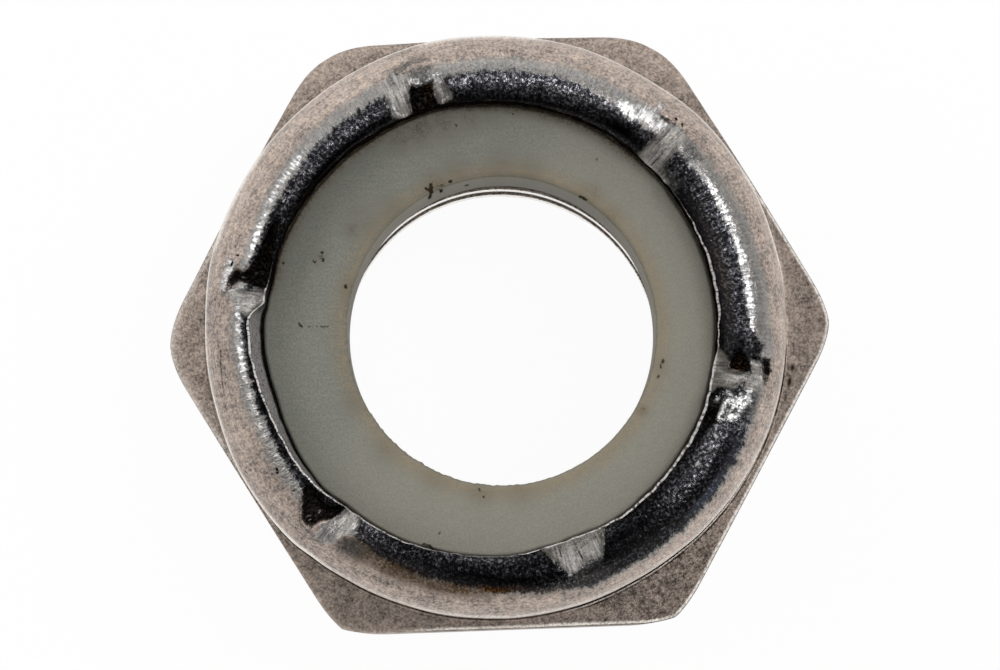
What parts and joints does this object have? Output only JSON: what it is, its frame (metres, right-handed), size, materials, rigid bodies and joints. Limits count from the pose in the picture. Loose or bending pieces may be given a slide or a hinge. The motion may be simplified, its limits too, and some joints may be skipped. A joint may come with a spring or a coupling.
{
  "type": "nylon insert lock nut",
  "caption": "Hexagon lock nut with a coarse inch thread and a nylon ring rolled into its round collar.",
  "frame": {"origin": "on the thread's axis, in the plane of the bearing face", "axes": "+Z along the thread's axis towards the collar; +X through a corner of the hexagon; +Y out of a flat"},
  "size_m": [0.016, 0.0142, 0.0114],
  "materials": {
    "steel": "dull tumbled steel, burnished dark where the lip was rolled in",
    "nylon": "natural grey-green nylon, satin, slightly soiled"
  },
  "bodies": {
    "root": {"nut_body": "steel", "nylon_insert": "nylon"}
  },
  "joints": []
}
